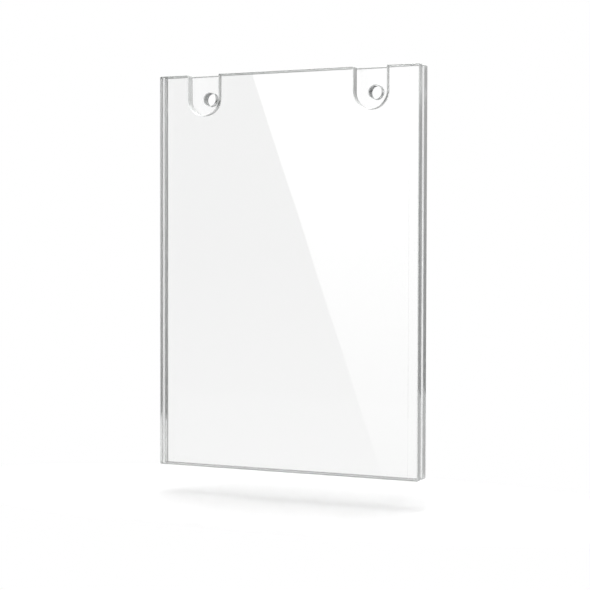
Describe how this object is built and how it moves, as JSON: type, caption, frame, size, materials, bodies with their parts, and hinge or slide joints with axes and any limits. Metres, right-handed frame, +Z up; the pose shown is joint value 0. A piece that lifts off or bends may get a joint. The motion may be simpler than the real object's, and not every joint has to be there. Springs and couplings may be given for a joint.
{
  "type": "acrylic wall sign holder",
  "caption": "Clear acrylic wall sign holder: two polished sheets with a print pocket between them, open at the top, and notches over the screw holes.",
  "frame": {"origin": "middle of the back face, which lies on the wall", "axes": "+X to the viewer's right, +Y into the wall, +Z up"},
  "size_m": [0.14, 0.012, 0.1986],
  "materials": {
    "front_acrylic": "polished",
    "back_acrylic": "polished",
    "strip_acrylic": "polished"
  },
  "bodies": {
    "root": {"front_panel": "front_acrylic", "back_panel": "back_acrylic", "left_spacer": "strip_acrylic", "right_spacer": "strip_acrylic", "bottom_spacer": "strip_acrylic"}
  },
  "joints": []
}
